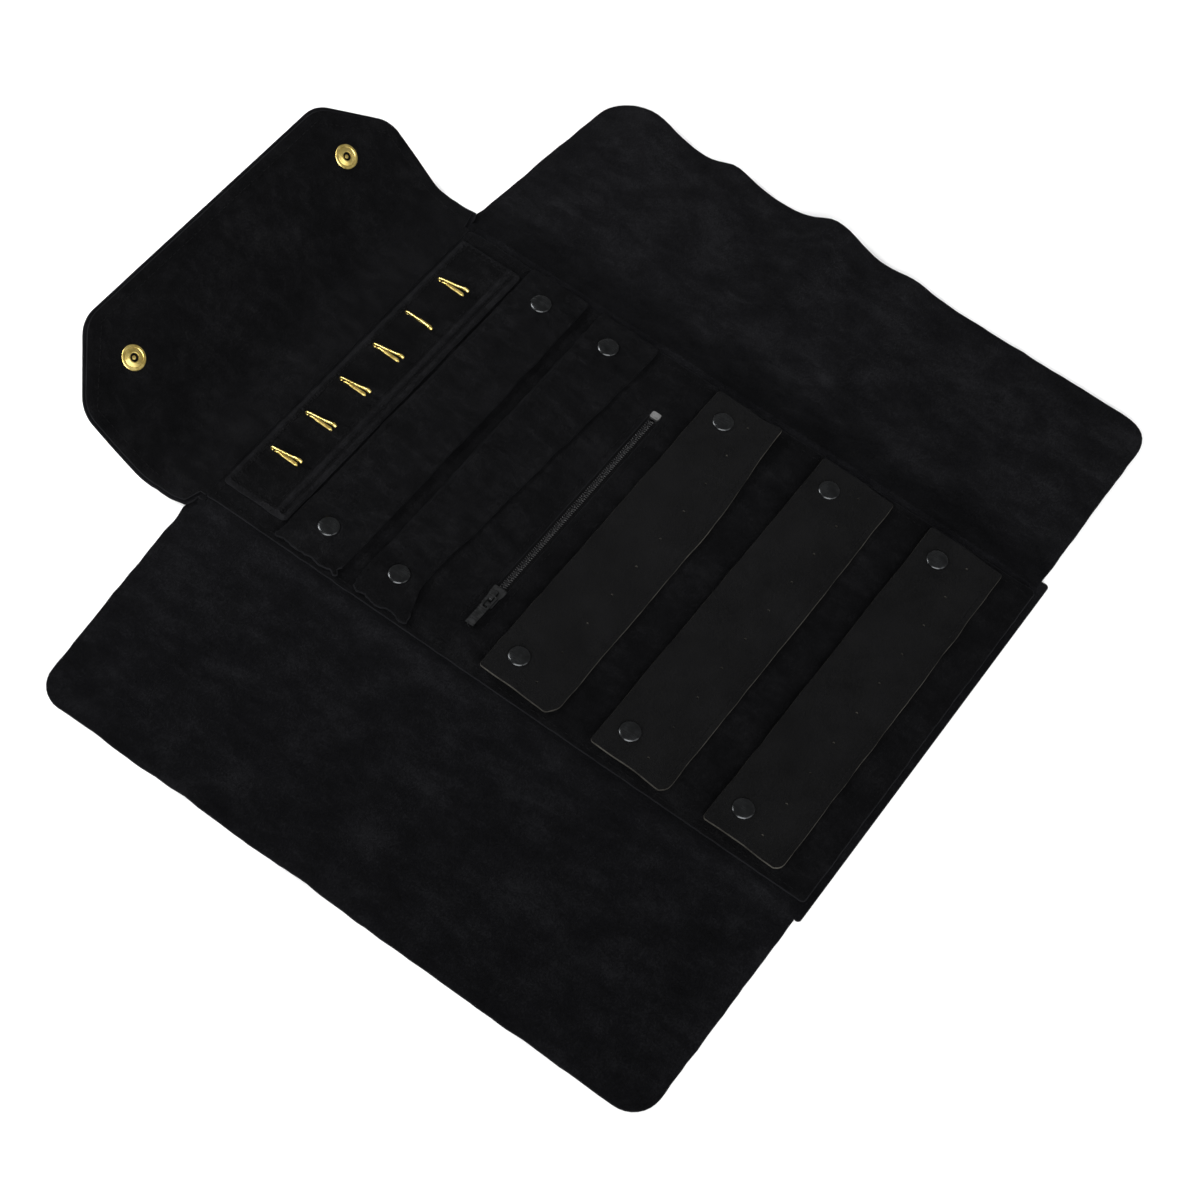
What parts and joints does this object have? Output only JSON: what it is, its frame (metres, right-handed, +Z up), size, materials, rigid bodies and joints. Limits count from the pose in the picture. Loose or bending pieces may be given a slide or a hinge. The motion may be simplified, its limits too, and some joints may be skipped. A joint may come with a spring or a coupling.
{
  "type": "jewelry pouch",
  "caption": "Folding black suede jewelry pouch with side flaps, snap closing flap, necklace hooks, ring straps, zipped pocket and leather earring flaps.",
  "frame": {"origin": "centre of the opened pouch's box, on the surface it lies on", "axes": "+X across the pouch towards the right side flap, +Y from the hem towards the closing flap, +Z up out of the inside"},
  "size_m": [0.4444, 0.418, 0.0462],
  "materials": {
    "suede": "matte black suede with a soft brushed nap",
    "leather": "smooth black leather with a fine grain and pale cut edges",
    "tape": "woven black tape",
    "coil": "satin black coil",
    "gunmetal": "glossy dark gunmetal",
    "brass": "polished gold-coloured brass",
    "nickel": "bright nickel"
  },
  "bodies": {
    "back_panel": {"cover_back": "suede", "lining_back": "suede", "hook_panel": "suede", "necklace_hook_1": "brass", "necklace_hook_2": "brass", "necklace_hook_3": "brass", "necklace_hook_4": "brass", "necklace_hook_5": "brass", "necklace_hook_6": "brass", "zipper_tape_lower": "tape", "zipper_tape_upper": "tape", "zipper_coil_lower": "coil", "zipper_coil_upper": "coil", "zipper_end_stop": "nickel", "ring_strap_1_end": "suede", "ring_strap_2_end": "suede", "strap_1_snap_cap_right": "gunmetal", "strap_2_snap_cap_right": "gunmetal", "strap_1_snap_stud_left": "gunmetal", "strap_1_snap_stud_right": "gunmetal", "strap_2_snap_stud_left": "gunmetal", "strap_2_snap_stud_right": "gunmetal"},
    "middle_panel": {"cover_middle": "suede", "lining_middle": "suede", "closing_stud_left": "brass", "closing_stud_right": "brass", "flap_1_snap_stud_left": "gunmetal", "flap_1_snap_stud_right": "gunmetal", "flap_2_snap_stud_left": "gunmetal", "flap_2_snap_stud_right": "gunmetal"},
    "hem_panel": {"cover_hem": "suede", "lining_hem": "suede", "flap_3_snap_stud_left": "gunmetal", "flap_3_snap_stud_right": "gunmetal"},
    "left_side_back": {"left_flap_back": "suede"},
    "left_side_middle": {"left_flap_middle": "suede"},
    "left_side_hem": {"left_flap_hem": "suede"},
    "right_side_back": {"right_flap_back": "suede"},
    "right_side_middle": {"right_flap_middle": "suede"},
    "right_side_hem": {"right_flap_hem": "suede"},
    "closing_neck": {"closing_flap_neck": "suede"},
    "closing_end": {"closing_flap_outer": "suede", "closing_flap_lining": "suede", "closing_snap_left": "brass", "closing_snap_right": "brass"},
    "earring_leaf_1": {"earring_flap_1": "leather", "flap_1_snap_cap_left": "gunmetal", "flap_1_snap_cap_right": "gunmetal"},
    "earring_leaf_2": {"earring_flap_2": "leather", "flap_2_snap_cap_left": "gunmetal", "flap_2_snap_cap_right": "gunmetal"},
    "earring_leaf_3": {"earring_flap_3": "leather", "flap_3_snap_cap_left": "gunmetal", "flap_3_snap_cap_right": "gunmetal"},
    "strap_1": {"ring_strap_1": "suede", "strap_1_snap_cap_left": "gunmetal"},
    "strap_2": {"ring_strap_2": "suede", "strap_2_snap_cap_left": "gunmetal"},
    "slider": {"zipper_slider": "gunmetal"},
    "pull": {"zipper_pull": "gunmetal"}
  },
  "joints": [
    {"name": "main_fold", "type": "hinge", "parent": "back_panel", "child": "middle_panel", "pos_m": [0, -0.02169, 0.01695], "axis": [-1, 0, 0], "range_deg": [0, 180]},
    {"name": "hem_fold", "type": "hinge", "parent": "middle_panel", "child": "hem_panel", "pos_m": [0, -0.14619, 0.011], "axis": [-1, 0, 0], "range_deg": [0, 180]},
    {"name": "left_fold", "type": "hinge", "parent": "back_panel", "child": "left_side_back", "pos_m": [-0.1115, 0.05, 0.0073], "axis": [0, 1, 0], "range_deg": [0, 180]},
    {"name": "left_fold_middle", "type": "hinge", "parent": "middle_panel", "child": "left_side_middle", "pos_m": [-0.1115, -0.08, 0.00617], "axis": [0, 1, 0], "range_deg": [0, 180]},
    {"name": "left_fold_hem", "type": "hinge", "parent": "hem_panel", "child": "left_side_hem", "pos_m": [-0.1115, -0.18, 0.00617], "axis": [0, 1, 0], "range_deg": [0, 180]},
    {"name": "right_fold", "type": "hinge", "parent": "back_panel", "child": "right_side_back", "pos_m": [0.1115, 0.05, 0.0073], "axis": [0, -1, 0], "range_deg": [0, 180]},
    {"name": "right_fold_middle", "type": "hinge", "parent": "middle_panel", "child": "right_side_middle", "pos_m": [0.1115, -0.08, 0.00617], "axis": [0, -1, 0], "range_deg": [0, 180]},
    {"name": "right_fold_hem", "type": "hinge", "parent": "hem_panel", "child": "right_side_hem", "pos_m": [0.1115, -0.18, 0.00617], "axis": [0, -1, 0], "range_deg": [0, 180]},
    {"name": "closing_fold", "type": "hinge", "parent": "back_panel", "child": "closing_neck", "pos_m": [0, 0.12601, 0.00255], "axis": [1, 0, 0], "range_deg": [-10.5, 79.5]},
    {"name": "closing_end_fold", "type": "hinge", "parent": "closing_neck", "child": "closing_end", "pos_m": [0, 0.15851, 0.00857], "axis": [1, 0, 0], "range_deg": [-26.5, 63.5]},
    {"name": "flap_1_open", "type": "hinge", "parent": "middle_panel", "child": "earring_leaf_1", "pos_m": [0, -0.06829, 0.00635], "axis": [-1, 0, 0], "range_deg": [-150, 0]},
    {"name": "flap_2_open", "type": "hinge", "parent": "middle_panel", "child": "earring_leaf_2", "pos_m": [0, -0.12899, 0.00635], "axis": [-1, 0, 0], "range_deg": [-150, 0]},
    {"name": "flap_3_open", "type": "hinge", "parent": "hem_panel", "child": "earring_leaf_3", "pos_m": [0, -0.18969, 0.00635], "axis": [-1, 0, 0], "range_deg": [-150, 0]},
    {"name": "strap_1_open", "type": "hinge", "parent": "back_panel", "child": "strap_1", "pos_m": [0.074, 0.06781, 0.0088], "axis": [0, -1, 0], "range_deg": [-150, 0]},
    {"name": "strap_2_open", "type": "hinge", "parent": "back_panel", "child": "strap_2", "pos_m": [0.074, 0.02781, 0.0088], "axis": [0, -1, 0], "range_deg": [-150, 0]},
    {"name": "zip_slide", "type": "slide", "parent": "back_panel", "child": "slider", "axis": [-1, 0, 0], "range_m": [-0.122, 0]},
    {"name": "pull_flip", "type": "hinge", "parent": "slider", "child": "pull", "pos_m": [-0.064, -0.01169, 0.00655], "axis": [0, -1, 0], "range_deg": [-150, 0]}
  ],
  "couplings": [
    {"joint": "left_fold_middle", "follows": "left_fold", "ratio": 1},
    {"joint": "left_fold_hem", "follows": "left_fold", "ratio": 1},
    {"joint": "right_fold_middle", "follows": "right_fold", "ratio": 1},
    {"joint": "right_fold_hem", "follows": "right_fold", "ratio": 1}
  ]
}
